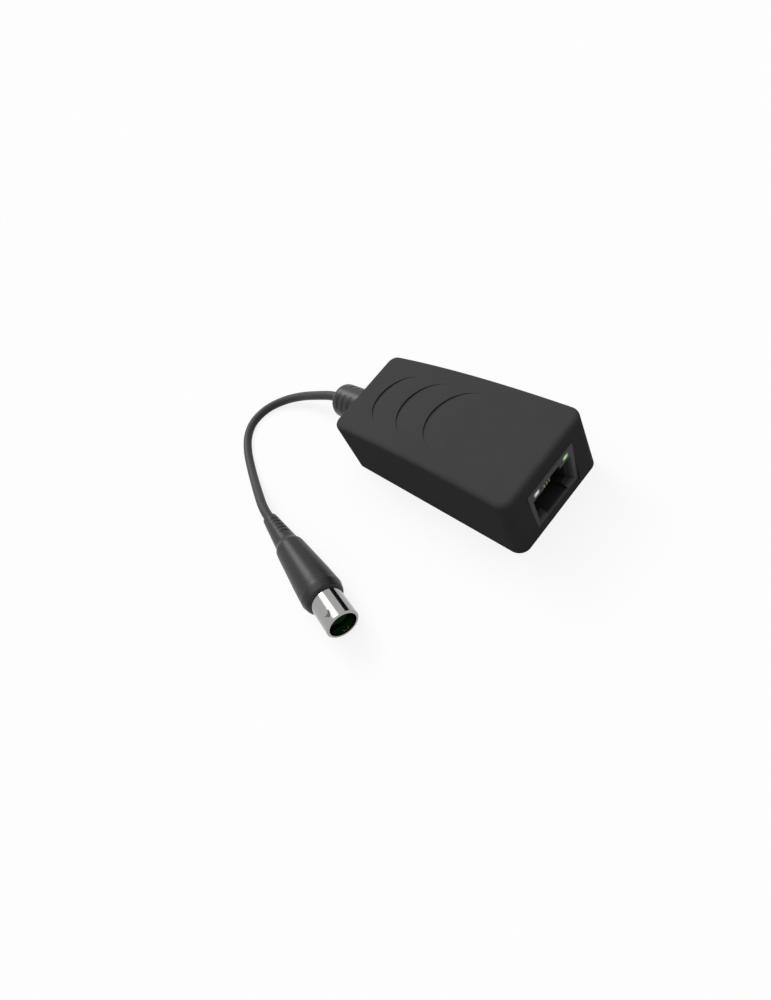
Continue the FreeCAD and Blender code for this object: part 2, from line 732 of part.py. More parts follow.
def make_jack_body():
    """The moulded RJ45 socket: way for the plug, latch groove, slots, lamp ways and ledges."""
    shell_size = (d.jack_depth, d.jack_width, d.jack_height)
    shell = block("jack_block", shell_size, (jack_back, -d.jack_width / 2, d.jack_bottom))
    wing_size = (d.wing_length, d.jack_width + 2 * d.wing_width, d.wing_thickness)
    wing_corner = (
        jack_back + d.slot_gap,
        -(d.jack_width / 2 + d.wing_width),
        board_top,
    )
    wings = block("jack_wings", wing_size, wing_corner)
    way_size = (d.plug_way_depth + 1, d.plug_way_width, d.plug_way_height)
    way_corner = (jack_face - d.plug_way_depth, -d.plug_way_width / 2, way_floor)
    tools = [block("plug_way", way_size, way_corner)]
    latch_size = (d.latch_way_depth + 1, d.latch_way_width, d.latch_way_rise + 1)
    latch_corner = (jack_face - d.latch_way_depth, -d.latch_way_width / 2, way_roof - 1)
    tools.append(block("latch_way", latch_size, latch_corner))

    flare = doc.addObject("Part::Wedge", "mouth_flare")
    wide = d.plug_way_width / 2 + d.lead_in_side
    flare_sizes = {
        "Xmin": -d.plug_way_width / 2,
        "Xmax": d.plug_way_width / 2,
        "Ymin": 0,
        "Ymax": d.lead_in,
        "Zmin": 0,
        "Zmax": d.plug_way_height,
        "X2min": -wide,
        "X2max": wide,
        "Z2min": -d.lead_in_floor,
        "Z2max": d.plug_way_height + d.lead_in_roof,
    }
    for key, measure in flare_sizes.items():
        setattr(flare, key, number(measure))
        flare.setExpression(key, words(measure))
    flare.Placement.Rotation = FreeCAD.Rotation(vector(0, 0, 1), -90)
    place(flare, jack_face - d.lead_in, 0, way_floor)
    tools.append(flare)

    recess_depth = d.contact_nose + d.recess_beyond
    recess_bottom = d.jack_bottom + d.recess_floor
    recess_size = (recess_depth + 1, d.recess_width, way_floor + 1 - recess_bottom)
    recess_corner = (jack_face - recess_depth, -d.recess_width / 2, recess_bottom)
    tools.append(block("contact_recess", recess_size, recess_corner))

    slot_width = d.contact_width + 2 * d.slot_gap
    slot_bottom = d.jack_bottom + d.contact_run_height
    nose_room = d.contact_nose - d.contact_thickness
    for index in range(8):
        y = contact_side(index) - slot_width / 2
        floor_size = (d.jack_depth - nose_room + 1, slot_width, way_floor - slot_bottom + 0.5)
        tools.append(
            block(f"floor_slot_{index + 1}", floor_size, (jack_back - 1, y, slot_bottom))
        )
        exit_top = d.jack_bottom + d.contact_exit_height + 2 * d.contact_thickness
        rear_size = (1 + 4 * d.contact_thickness, slot_width, exit_top - slot_bottom)
        tools.append(block(f"rear_slot_{index + 1}", rear_size, (jack_back - 1, y, slot_bottom)))
    for side in (-1, 1):
        lamp_size = (d.jack_depth + 2, d.lamp_width, d.lamp_height)
        lamp_corner = (jack_back - 1, side * d.lamp_side - d.lamp_width / 2, lamp_bottom)
        tools.append(block(f"lamp_way_{side + 2}", lamp_size, lamp_corner))
    whole = fused("jack_solid", [shell, wings])
    return labelled(cut_from("ethernet_jack_body", whole, tools), "ethernet_jack_body")


def bent_path(points, radius):
    """Straight runs joined by arcs of one radius, as a wire."""
    edges = []
    last = points[0]
    for before, corner, after in zip(points, points[1:], points[2:]):
        back = (before - corner).normalize()
        onward = (after - corner).normalize()
        half = back.getAngle(onward) / 2
        tangent_length = radius / math.tan(half)
        start = corner + back * tangent_length
        end = corner + onward * tangent_length
        middle_way = (back + onward).normalize()
        middle = corner + middle_way * (radius / math.sin(half) - radius)
        edges.append(Part.LineSegment(last, start).toShape())
        edges.append(Part.Arc(start, middle, end).toShape())
        last = end
    edges.append(Part.LineSegment(last, points[-1]).toShape())
    return Part.Wire(edges)


def make_contact(index):
    """One sprung contact strip: tail, rear run, lower run, fold at the mouth and free arm."""
    x_tail = tail_place(index)[0]
    half = d.contact_thickness / 2
    run = d.jack_bottom + d.contact_run_height + half
    exit_run = d.jack_bottom + d.contact_exit_height
    riser = jack_back + 2 * d.contact_thickness + half
    nose = jack_face - d.contact_nose
    points = [
        vector(x_tail, 0, d.board_underside - d.contact_width),
        vector(x_tail, 0, exit_run),
        vector(riser, 0, exit_run),
        vector(riser, 0, run),
        vector(nose, 0, run),
        vector(nose - d.contact_bend, 0, way_floor + d.contact_bend),
        vector(jack_face - d.contact_tip_back, 0, way_floor + d.contact_tip_rise),
    ]
    path = bent_path(points, number(d.contact_bend))
    face = path.makeOffset2D(number(half), fill=True)
    width = number(d.contact_width)
    strip = face.extrude(FreeCAD.Vector(0, width, 0))
    contact = doc.addObject("Part::Feature", f"jack_contact_{index + 1}")
    contact.Shape = strip
    side = number(contact_side(index)) - width / 2
    contact.Placement = FreeCAD.Placement(FreeCAD.Vector(0, side, 0), FreeCAD.Rotation())
    return labelled(contact, f"jack_contact_{index + 1}")


def make_light_guide(side, label):
    """A light guide from the lamp window back over the board and down to its chip."""
    leg_x = jack_back - d.guide_depth - d.slot_gap
    y = side * d.lamp_side - d.lamp_width / 2
    run = block(
        label + "_run",
        (jack_face - leg_x, d.lamp_width, d.lamp_height),
        (leg_x, y, lamp_bottom),
    )
    leg_bottom = board_top + d.lamp_chip
    leg = block(
        label + "_leg",
        (d.guide_depth, d.lamp_width, lamp_bottom - leg_bottom + d.lamp_height),
        (leg_x, y, leg_bottom),
    )
    return labelled(fused(label, [run, leg]), label)


def make_lamp_chip(side, label):
    x = jack_back - d.guide_depth - d.slot_gap
    size = (d.guide_depth, d.chip_length, d.lamp_chip)
    corner = (x, side * d.lamp_side - d.chip_length / 2, board_top)
    return labelled(block(label, size, corner), label)


def make_transformer():
    """Moulded case of the line transformer, standing just off the board."""
    length, width, height = d.transformer_length, d.transformer_width, d.transformer_height
    body = plate_body("line_transformer", length, width, height, d.chip_height)
    place(body, transformer_place, 0, board_top + d.transformer_lift)
    return labelled(body, "line_transformer")


def make_transformer_leads():
    """Two rows of gull-wing leads, as one group."""
    leads = []
    shoulder = d.transformer_lift + d.transformer_height / 4
    for side in (-1, 1):
        for index in range(6):
            x = transformer_place + (index - 2.5) * d.lead_pitch - d.lead_width / 2
            edge = d.transformer_width / 2
            inner = edge if side > 0 else -(edge + d.lead_foot / 2)
            arm_size = (d.lead_width, d.lead_foot / 2, d.lead_thickness)
            arm = block("lead_arm", arm_size, (x, inner, board_top + shoulder))
            drop_at = edge + d.lead_foot / 2 - d.lead_thickness
            drop_y = drop_at if side > 0 else -(drop_at + d.lead_thickness)
            drop_size = (d.lead_width, d.lead_thickness, shoulder + d.lead_thickness)
            drop = block("lead_drop", drop_size, (x, drop_y, board_top))
            foot_size = (d.lead_width, d.lead_foot / 2 + d.lead_thickness, d.lead_thickness)
            foot_y = drop_at if side > 0 else -(drop_at + d.lead_foot / 2 + d.lead_thickness)
            foot = block("lead_toe", foot_size, (x, foot_y, board_top))
            leads.append(fused("lead", [arm, drop, foot]))
    group = doc.addObject("Part::Compound", "transformer_leads")
    group.Links = leads
    return labelled(group, "transformer_leads")


def make_choke():
    """Drum choke: two flanges on a wound waist, turned about its own upright axis."""
    radius, waist = d.choke_diameter / 2, d.choke_waist / 2
    upper = d.choke_height - d.choke_flange
    profile = [
        (0, 0),
        (0, radius),
        (d.choke_flange, radius),
        (d.choke_flange, waist),
        (upper, waist),
        (upper, radius),
        (d.choke_height, radius),
        (d.choke_height, 0),
    ]
    body = turned("common_mode_choke", profile)
    body.Placement.Rotation = FreeCAD.Rotation(vector(0, 1, 0), -90)
    place(body, choke_place, d.choke_side, board_top)
    return labelled(body, "common_mode_choke")


def make_arrester():
    """Gas discharge tube between two metal caps, on two bent wire leads."""
    lift = board_top + d.arrester_diameter / 2 + d.fit_gap
    start = choke_place - d.arrester_length / 2
    y = -d.choke_side
    tube_length = d.arrester_length - 2 * d.arrester_cap
    tube = rod(
        "arrester_tube",
        d.arrester_diameter - 2 * d.fit_gap,
        tube_length,
        (start + d.arrester_cap, y, lift),
        "X",
    )
    caps = [
        rod("arrester_cap_rear", d.arrester_diameter, d.arrester_cap, (start, y, lift), "X"),
        rod(
            "arrester_cap_front",
            d.arrester_diameter,
            d.arrester_cap,
            (start + d.arrester_cap + tube_length, y, lift),
            "X",
        ),
    ]
    labelled(tube, "surge_arrester")
    step = d.arrester_lead * 2
    wires = []
    for name, x, way in (("rear", start, -1), ("front", start + d.arrester_length, 1)):
        reach = number(x) + way * number(step)
        points = [
            vector(x, y, lift),
            FreeCAD.Vector(reach, number(y), number(lift)),
            FreeCAD.Vector(reach, number(y), number(board_top)),
        ]
        path = bent_path(points, number(d.arrester_lead))
        circle = Part.Circle(points[0], vector(1, 0, 0), number(d.arrester_lead) / 2)
        wire = doc.addObject("Part::Feature", f"arrester_wire_{name}")
        wire.Shape = path.makePipeShell([Part.Wire(circle.toShape())], True, True)
        wires.append(wire)
    leads = fused("arrester_leads", caps + wires)
    return [tube, labelled(leads, "arrester_leads")]


def make_capacitor(side, label):
    size = (d.capacitor_length, d.capacitor_width, d.capacitor_height)
    x = transformer_place - d.capacitor_length / 2
    y = side * d.capacitor_side - d.capacitor_width / 2
    return labelled(block(label, size, (x, y, board_top)), label)


def make_chip_resistors():
    """Three chips in line with each film capacitor, as one group."""
    chips = []
    first = transformer_place + d.capacitor_length / 2 + d.chip_gap
    for side in (-1, 1):
        for index in range(3):
            y = side * d.capacitor_side - d.chip_length / 2
            corner = (first + index * d.chip_pitch, y, board_top)
            chips.append(block("chip", (d.chip_width, d.chip_length, d.chip_height), corner))
    group = doc.addObject("Part::Compound", "chip_resistors")
    group.Links = chips
    return labelled(group, "chip_resistors")


def make_relief():
    """The ribbed strain relief: flange inside, neck in the wall, grooved barrel outside."""
    bore = d.cable_diameter / 2
    flange_face = -d.relief_grip
    flange_back = flange_face - d.relief_flange_thickness
    end_radius = d.relief_end_diameter / 2
    profile = [
        (flange_back, bore),
        (flange_back, d.relief_flange / 2),
        (flange_face, d.relief_flange / 2),
        (flange_face, d.relief_neck / 2),
        (0, d.relief_neck / 2),
        (0, d.relief_diameter / 2),
        (d.relief_length, end_radius),
        (d.relief_length, bore),
    ]
    roundings = [(d.relief_length, end_radius, d.relief_rounding)]
    body = turned("relief_blank", profile, roundings)
    cutters = []
    for index in range(8):
        start = d.relief_length - d.relief_groove_first - index * d.relief_groove_pitch
        outer = d.relief_diameter + 2
        inner = d.relief_diameter - 2 * d.relief_groove_depth
        ring = cut_from(
            f"relief_ring_{index + 1}",
            rod("ring_outer", outer, d.relief_groove, (start, 0, 0), "X"),
            [rod("ring_inner", inner, d.relief_groove, (start, 0, 0), "X")],
        )
        bridge_size = (d.relief_groove, d.relief_bridge, outer)
        bridge = block("ring_bridge", bridge_size, (start, -d.relief_bridge / 2, -outer / 2))
        turn = doc.addObject("Part::Cut", f"relief_groove_{index + 1}")
        turn.Base = ring
        turn.Tool = bridge
        angle = d.relief_groove_turn + 90 * (index % 2)
        turn.Placement.Rotation = FreeCAD.Rotation(vector(1, 0, 0), number(angle))
        turn.setExpression("Placement.Rotation.Angle", words(angle))
        cutters.append(turn)
    relief = cut_from("cable_strain_relief", body, cutters)
    relief.Placement.Rotation = FreeCAD.Rotation(vector(0, 0, 1), 180)
    place(relief, relief_shoulder, 0, d.relief_height)
    return labelled(relief, "cable_strain_relief")


def make_inner_cable():
    """The lead inside the strain relief and housing, up to where its jacket is stripped."""
    relief_end = relief_shoulder - d.relief_length
    jacket_length = jacket_end - relief_end
    start = (relief_end, 0, d.relief_height)
    jacket = labelled(
        rod("cable_inside", d.cable_diameter, jacket_length, start, "X"), "cable_inside"
    )
    tail = d.cable_diameter * 0.8
    core_start = (jacket_end, 0, d.relief_height)
    insulation = rod("inner_insulation", d.insulation_diameter, tail, core_start, "X")
    bend = number(d.conductor_diameter) * 1.5
    strip = number(jacket_end + tail)
    drop_x = strip + 3 * bend
    height = number(d.relief_height)
    points = [
        FreeCAD.Vector(strip, 0, height),
        FreeCAD.Vector(drop_x, 0, height),
        FreeCAD.Vector(drop_x, 0, number(board_top)),
    ]
    circle = Part.Circle(points[0], vector(1, 0, 0), number(d.conductor_diameter) / 2)
    wire = doc.addObject("Part::Feature", "inner_conductor")
    wire.Shape = bent_path(points, bend).makePipeShell([Part.Wire(circle.toShape())], True, True)
    core = labelled(fused("cable_core", [insulation, wire]), "cable_core")

    radius = number(d.pigtail_diameter) / 2
    side = number(d.insulation_diameter) / 2 + radius + 0.03
    end_of_jacket = number(jacket_end)
    out = number(d.cable_diameter)
    pigtail_points = [
        FreeCAD.Vector(end_of_jacket, side, height),
        FreeCAD.Vector(end_of_jacket + out * 0.55, side, height),
        FreeCAD.Vector(end_of_jacket + out * 1.05, side + out * 0.75, height),
        FreeCAD.Vector(end_of_jacket + out * 1.05, side + out * 0.75, number(board_top)),
    ]
    pigtail_circle = Part.Circle(pigtail_points[0], vector(1, 0, 0), radius)
    pigtail = doc.addObject("Part::Feature", "braid_pigtail")
    pigtail_path = bent_path(pigtail_points, number(d.pigtail_diameter))
    pigtail.Shape = pigtail_path.makePipeShell([Part.Wire(pigtail_circle.toShape())], True, True)

    ring = cut_from(
        "cable_stop_ring",
        rod(
            "stop_ring_outer",
            d.crimp_ring_diameter,
            d.crimp_ring_length,
            (stop_ring_start, 0, d.relief_height),
            "X",
        ),
        [
            rod(
                "stop_ring_bore",
                d.cable_diameter,
                d.crimp_ring_length,
                (stop_ring_start, 0, d.relief_height),
                "X",
            )
        ],
    )
    return [
        jacket,
        core,
        labelled(pigtail, "braid_pigtail"),
        labelled(ring, "cable_stop_ring"),
    ]


def cable_path(points):
    """Straight runs joined by the largest arcs that the runs allow, and the arcs' radii."""
    edges = []
    radii = []
    last = points[0]
    for before, corner, after in zip(points, points[1:], points[2:]):
        back, onward = before - corner, after - corner
        tangent_length = 0.45 * min(back.Length, onward.Length)
        back.normalize()
        onward.normalize()
        half = back.getAngle(onward) / 2
        radius = tangent_length * math.tan(half)
        start = corner + back * tangent_length
        end = corner + onward * tangent_length
        middle_way = (back + onward).normalize()
        middle = corner + middle_way * (radius / math.sin(half) - radius)
        edges.append(Part.LineSegment(last, start).toShape())
        edges.append(Part.Arc(start, middle, end).toShape())
        radii.append(radius)
        last = end
    edges.append(Part.LineSegment(last, points[-1]).toShape())
    return Part.Wire(edges), radii


def make_cable():
    """The free lead from the strain relief to the boot's tail."""
    start = vector(relief_shoulder - d.relief_length, 0, d.relief_height)
    points = [start] + [FreeCAD.Vector(*point) for point in CABLE_ROUTE[1:]]
    path, radii = cable_path(points)
    circle = Part.Circle(points[0], vector(1, 0, 0), number(d.cable_diameter) / 2)
    tube = path.makePipeShell([Part.Wire(circle.toShape())], True, True)
    section = math.pi * number(d.cable_diameter) ** 2 / 4
    print("lead: length", round(path.Length, 2), "smallest radius", round(min(radii), 2))
    print("lead: radii", [round(radius, 1) for radius in radii])
    print("lead: volume", round(tube.Volume, 2), "section times length", round(section * path.Length, 2))
    cable = doc.addObject("Part::Feature", "coax_cable")
    cable.Shape = tube
    return labelled(cable, "coax_cable")


def plug_placement():
    """The plug lies level on its nose, in line with the last run of the lead."""
    tail = FreeCAD.Vector(*CABLE_ROUTE[-1])
    run = tail - FreeCAD.Vector(*CABLE_ROUTE[-2])
    heading = math.degrees(math.atan2(run.y, run.x))
    turn = FreeCAD.Rotation(vector(0, 0, 1), heading)
    roll = FreeCAD.Rotation(vector(1, 0, 0), number(d.plug_roll))
    return FreeCAD.Placement(tail, turn.multiply(roll))


plug_length = d.boot_length + d.barrel_reach


def behind_mouth(distance):
    """Place along the plug, from the tail of the boot, of something measured from its mouth."""
    return plug_length - distance


def make_boot():
    """The moulded boot: slotted tail, shoulder, swelling body and a rounded nose."""
    bore = d.cable_diameter / 2
    tail_end = d.boot_tail_diameter / 2
    tail_root = d.boot_tail_root / 2
    shoulder = d.boot_shoulder / 2
    shoulder_at = d.boot_tail_length + d.boot_shoulder_length
    swell = d.boot_swell / 2
    body_end = d.boot_body_end / 2
    nose_at = d.boot_length - d.boot_nose_length
    mouth = d.boot_mouth / 2
    mouth_floor = d.boot_length - d.boot_mouth_depth
    barrel = d.barrel_diameter / 2
    barrel_back = behind_mouth(d.barrel_body)
    ferrule = d.ferrule_diameter / 2
    stem_room = barrel_back - d.ferrule_length - d.fit_gap
    profile = [
        (0, bore),
        (0, tail_end - d.boot_tail_bevel),
        (d.boot_tail_bevel, tail_end),
        (d.boot_tail_length, tail_root),
        (shoulder_at, shoulder),
        (d.boot_swell_at, swell),
        (nose_at, body_end),
        (d.boot_length, mouth),
        (mouth_floor, mouth),
        (mouth_floor, barrel),
        (barrel_back, barrel),
        (barrel_back, ferrule),
        (stem_room, ferrule),
        (stem_room, bore),
    ]
    nose_side = 6
    roundings = [(shoulder_at, shoulder, d.boot_shoulder_rounding)]
    body = turned("boot_blank", profile, roundings, {nose_side: d.boot_nose_radius})
    slots = []
    taper = (tail_root - tail_end) / d.boot_tail_length
    for index in range(5):
        middle = d.boot_slot_start + index * d.boot_slot_pitch
        floor = tail_end + middle * taper - d.boot_slot_depth
        for side in (-1, 1):
            base = floor if side > 0 else -floor - tail_end
            size = (d.boot_slot, d.boot_tail_root, tail_end)
            corner = (middle - d.boot_slot / 2, -tail_root, base)
            slots.append(block("boot_slot", size, corner))
    rows = fused("boot_slot_rows", slots)
    rows.Placement.Rotation = FreeCAD.Rotation(vector(-1, 0, 0), number(d.boot_slot_turn))
    rows.setExpression("Placement.Rotation.Angle", words(d.boot_slot_turn))
    boot = cut_from("plug_boot", body, [rows])
    boot.Placement = plug_placement()
    return labelled(boot, "plug_boot")


def make_barrel():
    """The BNC barrel with its bayonet lugs and, behind it, the crimp stem."""
    outer = d.barrel_diameter / 2
    bore = d.barrel_bore / 2
    seat = d.insulator_seat / 2
    back = behind_mouth(d.barrel_body)
    floor = behind_mouth(d.barrel_bore_depth)
    seat_back = behind_mouth(d.insulator_tail)
    core = d.insulation_diameter / 2
    edge = d.barrel_edge
    profile = [
        (back - d.stem_length, core),
        (back - d.stem_length, d.stem_diameter / 2),
        (back, d.stem_diameter / 2),
        (back, outer),
        (plug_length - edge, outer),
        (plug_length, outer - edge),
        (plug_length, bore),
        (floor, bore),
        (floor, seat),
        (seat_back, seat),
        (seat_back, core),
    ]
    body = turned("barrel_blank", profile)
    lugs = []
    middle = behind_mouth(d.lug_setback)
    height = (d.lug_span - d.barrel_bore) / 2 - d.fit_gap
    for side in (-1, 1):
        base = bore + d.fit_gap if side > 0 else -(d.lug_span / 2)
        lugs.append(rod("lug", d.lug_diameter, height, (middle, 0, base)))
    barrel = fused("bnc_barrel", [body] + lugs)
    barrel.Placement = plug_placement()
    return labelled(barrel, "bnc_barrel")


def make_insulator():
    """The insulator, with a nose round the centre contact."""
    nose = behind_mouth(d.insulator_setback)
    floor = behind_mouth(d.barrel_bore_depth)
    back = behind_mouth(d.insulator_tail)
    hole = d.contact_diameter / 2
    profile = [
        (back, hole),
        (back, d.insulator_seat / 2),
        (floor, d.insulator_seat / 2),
        (floor, d.insulator_diameter / 2),
        (nose, d.insulator_diameter / 2),
        (nose, hole),
    ]
    body = turned("bnc_insulator", profile)
    body.Placement = plug_placement()
    return labelled(body, "bnc_insulator")


def make_centre_contact():
    """The hollow centre contact, with the lead's conductor in its back."""
    front = behind_mouth(d.contact_setback)
    back = behind_mouth(d.contact_back)
    hole_end = front - d.contact_bore_depth
    wire = d.conductor_diameter / 2
    pot_end = back + d.contact_bore_depth / 2
    profile = [
        (back, wire),
        (back, d.contact_diameter / 2),
        (front, d.contact_diameter / 2),
        (front, d.contact_bore / 2),
        (hole_end, d.contact_bore / 2),
        (hole_end, 0),
        (pot_end, 0),
        (pot_end, wire),
    ]
    body = turned("bnc_centre_contact", profile)
    body.Placement = plug_placement()
    return labelled(body, "bnc_centre_contact")


def make_ferrule():
    """The ferrule crimped over the stem."""
    back = behind_mouth(d.barrel_body)
    start = back - d.ferrule_length
    inner = d.stem_diameter / 2
    outer = d.ferrule_diameter / 2
    profile = [(start, inner), (start, outer), (back, outer), (back, inner)]
    body = turned("bnc_crimp_ferrule", profile)
    body.Placement = plug_placement()
    return labelled(body, "bnc_crimp_ferrule")


def make_plug_end_of_cable():
    """The lead's end inside the boot: jacket to the stem, insulation through it, bare tip."""
    stem_end = behind_mouth(d.barrel_body) - d.stem_length
    jacket = d.cable_diameter / 2
    insulation = d.insulation_diameter / 2
    wire = d.conductor_diameter / 2
    contact_back = behind_mouth(d.contact_back)
    tip = contact_back + d.contact_bore_depth / 2
    profile = [
        (0, 0),
        (0, jacket),
        (stem_end, jacket),
        (stem_end, insulation),
        (behind_mouth(d.insulator_tail), insulation),
        (behind_mouth(d.insulator_tail), wire),
        (tip, wire),
        (tip, 0),
    ]
    body = turned("cable_plug_end", profile)
    body.Placement = plug_placement()
    return labelled(body, "cable_plug_end")


nodes = [
    make_housing(),
    make_base_cover(),
    make_board(),
    make_jack_body(),
]
nodes += [make_contact(index) for index in range(8)]
nodes += [
    make_light_guide(1, "link_light_guide"),
    make_light_guide(-1, "activity_light_guide"),
    make_lamp_chip(1, "link_lamp_chip"),
    make_lamp_chip(-1, "activity_lamp_chip"),
    make_transformer(),
    make_transformer_leads(),
    make_choke(),
]
nodes += make_arrester()
nodes += [
    make_capacitor(1, "film_capacitor_left"),
    make_capacitor(-1, "film_capacitor_right"),
    make_chip_resistors(),
    make_relief(),
]
nodes += make_inner_cable()
nodes += [
    make_cable(),
    make_boot(),
    make_barrel(),
    make_insulator(),
    make_centre_contact(),
    make_ferrule(),
    make_plug_end_of_cable(),
]
doc.recompute()

failed = [o.Label for o in doc.Objects if "Invalid" in o.State or "Error" in o.State]
if failed:
    raise SystemExit(f"these objects did not rebuild: {failed}")
for node in nodes:
    shape = node.Shape
    if shape.isNull() or not shape.isValid() or not shape.Solids:
        raise SystemExit(f"{node.Label} has no valid solid")

os.makedirs("parts", exist_ok=True)
for node in nodes:
    node.Shape.exportStep(f"parts/{node.Label}.step")
    box = node.Shape.BoundBox
    print(
        node.Label,
        len(node.Shape.Solids),
        "solid(s), volume",
        round(node.Shape.Volume, 2),
        "x",
        (round(box.XMin, 2), round(box.XMax, 2)),
        "y",
        (round(box.YMin, 2), round(box.YMax, 2)),
        "z",
        (round(box.ZMin, 2), round(box.ZMax, 2)),
    )
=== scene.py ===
# %% [markdown]
# A small black box joins a network cable to a coax cable, and this lesson dresses its packed
# solids for a photograph. The camera comes first, because every later choice is judged through
# it. Then come the free lead, one finish after another, and last the floor and the lamps.
# Everything is in metres, in the frame of the solids: +Z is up, the network socket looks along
# +X, and the lead leaves at -X and loops round to -Y.

# %% Load the solids
import math

import bmesh
import bpy
from mathutils import Matrix, Vector


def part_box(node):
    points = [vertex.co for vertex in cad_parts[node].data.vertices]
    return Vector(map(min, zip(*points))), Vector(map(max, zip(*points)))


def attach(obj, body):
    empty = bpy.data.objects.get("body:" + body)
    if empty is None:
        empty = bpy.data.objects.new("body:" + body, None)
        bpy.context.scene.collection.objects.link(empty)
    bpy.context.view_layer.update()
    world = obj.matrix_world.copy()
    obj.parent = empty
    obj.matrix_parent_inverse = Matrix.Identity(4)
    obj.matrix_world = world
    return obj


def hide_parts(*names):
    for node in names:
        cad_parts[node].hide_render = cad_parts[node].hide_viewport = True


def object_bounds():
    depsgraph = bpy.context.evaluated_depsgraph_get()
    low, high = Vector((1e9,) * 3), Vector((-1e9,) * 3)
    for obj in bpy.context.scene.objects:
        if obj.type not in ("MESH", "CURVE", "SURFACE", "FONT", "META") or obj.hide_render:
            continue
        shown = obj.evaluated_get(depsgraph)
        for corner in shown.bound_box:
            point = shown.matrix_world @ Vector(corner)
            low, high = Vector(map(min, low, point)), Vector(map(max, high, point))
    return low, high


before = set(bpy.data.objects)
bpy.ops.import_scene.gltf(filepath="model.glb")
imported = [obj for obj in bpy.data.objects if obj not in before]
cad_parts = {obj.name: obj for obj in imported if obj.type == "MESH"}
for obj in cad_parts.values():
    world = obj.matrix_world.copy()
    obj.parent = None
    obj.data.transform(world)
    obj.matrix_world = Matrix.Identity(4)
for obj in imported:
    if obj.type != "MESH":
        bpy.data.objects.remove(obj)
solid_low, solid_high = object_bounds()
MM = 0.001
solid_size = [round(x / MM, 1) for x in solid_high - solid_low]
print("solids:", len(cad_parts), "size in mm", solid_size)

# %% [markdown]
# The photograph was taken from close by, above the corner beside the socket, so the nearer
# parts look clearly larger. A short lens at a short distance gives that. A long lens from far
# away could frame the same box, but it would draw its sides parallel. Turning the camera would
# change how the box looks, so the lens shift slides it towards the middle of the picture.

# %% Camera
camera_data = bpy.data.cameras.new("photo_camera")
camera_data.sensor_width = 36.0
camera_data.lens = 16.3075
camera_data.shift_x = 0.0353
camera_data.shift_y = 0.0004
camera_data.clip_start = 0.005
camera_data.clip_end = 100.0
camera = bpy.data.objects.new("photo_camera", camera_data)
camera.location = Vector((76.223, -45.591, 107.327)) * MM
camera.rotation_euler = [math.radians(a) for a in (34.8588, 27.8072, 46.3328)]
bpy.context.scene.collection.objects.link(camera)
bpy.context.scene.camera = camera
bpy.context.scene.view_settings.view_transform = "Standard"
print("camera above the table in mm", round(camera.location.z / MM, 1))

# %% [markdown]
# The free lead is thin coax in a soft black jacket. A tube swept along straight runs would look
# like bent wire. A NURBS curve with a round bevel suits a cable better: its few control points
# are the places that the lead passes, and the line stays smooth between them. The lead leaves
# the strain relief level, sinks to the table, turns back in one open bend and rises again into
# the tail of the boot, whose body holds it off the table.

# %% The free lead
LEAD_ROUTE = [
    (-51.8, 0.0, 7.8),
    (-57.4, 0.0, 7.8),
    (-67.4, -2.0, 6.2),
    (-78.4, -4.2, 4.0),
    (-88.8, -8.6, 2.3),
    (-95.6, -15.6, 1.7),
    (-96.4, -23.8, 1.7),
    (-91.8, -30.3, 1.7),
    (-84.4, -35.3, 1.7),
    (-75.8, -39.4, 1.7),
    (-66.6, -42.9, 2.4),
    (-56.4, -45.8, 4.7),
    (-46.5, -48.74, 6.3),
    (-40.87, -49.63, 6.3),
]
LEAD_DIAMETER = 3.4 * MM


def lead_line(name, thickness):
    curve = bpy.data.curves.new(name, "CURVE")
    curve.dimensions = "3D"
    curve.bevel_depth = thickness / 2
    curve.bevel_resolution = 8
    curve.resolution_u = 16
    curve.use_fill_caps = True
    spline = curve.splines.new("NURBS")
    spline.points.add(len(LEAD_ROUTE) - 1)
    for point, place in zip(spline.points, LEAD_ROUTE):
        point.co = (*[c * MM for c in place], 1.0)
    spline.order_u = 3
    spline.use_endpoint_u = True
    return bpy.data.objects.new(name, curve)


lead = lead_line("free_lead", LEAD_DIAMETER)
bpy.context.scene.collection.objects.link(lead)

# %% [markdown]
# A curve without thickness turns into a chain of edges. This cell makes the bare copy and its
# chain, and throws both away again.

# %% A bare copy of the lead
bare = lead_line("bare_line", 0.0)
chain = bpy.data.meshes.new_from_object(bare)
bare_curve = bare.data
bpy.data.objects.remove(bare)
bpy.data.curves.remove(bare_curve)
bpy.data.meshes.remove(chain)

# %% [markdown]
# The strain relief and the boot are soft mouldings, round in section, with shallow grooves that
# let them bend. Their solids have the grooves cut square, as a drawing shows them. A piece
# turned from its outline gives softer ones: the outline is a closed wire, cut finely where the
# grooves will be, and one full spin makes the skin. Cutting each groove out would leave hard
# rims to round one by one, and pressing the skin inwards leaves none.


# %% Turned pieces
def turned(outline, fine=(), turns=128):
    """A skin spun about X from (x, radius) corners in mm. fine gives runs and their cuts."""
    skin = bmesh.new()
    corners = [skin.verts.new((x * MM, 0, radius * MM)) for x, radius in outline]
    runs = [skin.edges.new(pair) for pair in zip(corners, corners[1:] + corners[:1])]
    for run, cuts in fine:
        bmesh.ops.subdivide_edges(skin, edges=[runs[run]], cuts=cuts)
    bmesh.ops.spin(
        skin,
        geom=skin.verts[:] + skin.edges[:],
        cent=(0, 0, 0),
        axis=(1, 0, 0),
        angle=math.tau,
        steps=turns,
        use_merge=True,
    )
    bmesh.ops.recalc_face_normals(skin, faces=skin.faces)
    return skin


def from_axis(point):
    """How far a point is from the X axis."""
    return math.hypot(point.y, point.z)


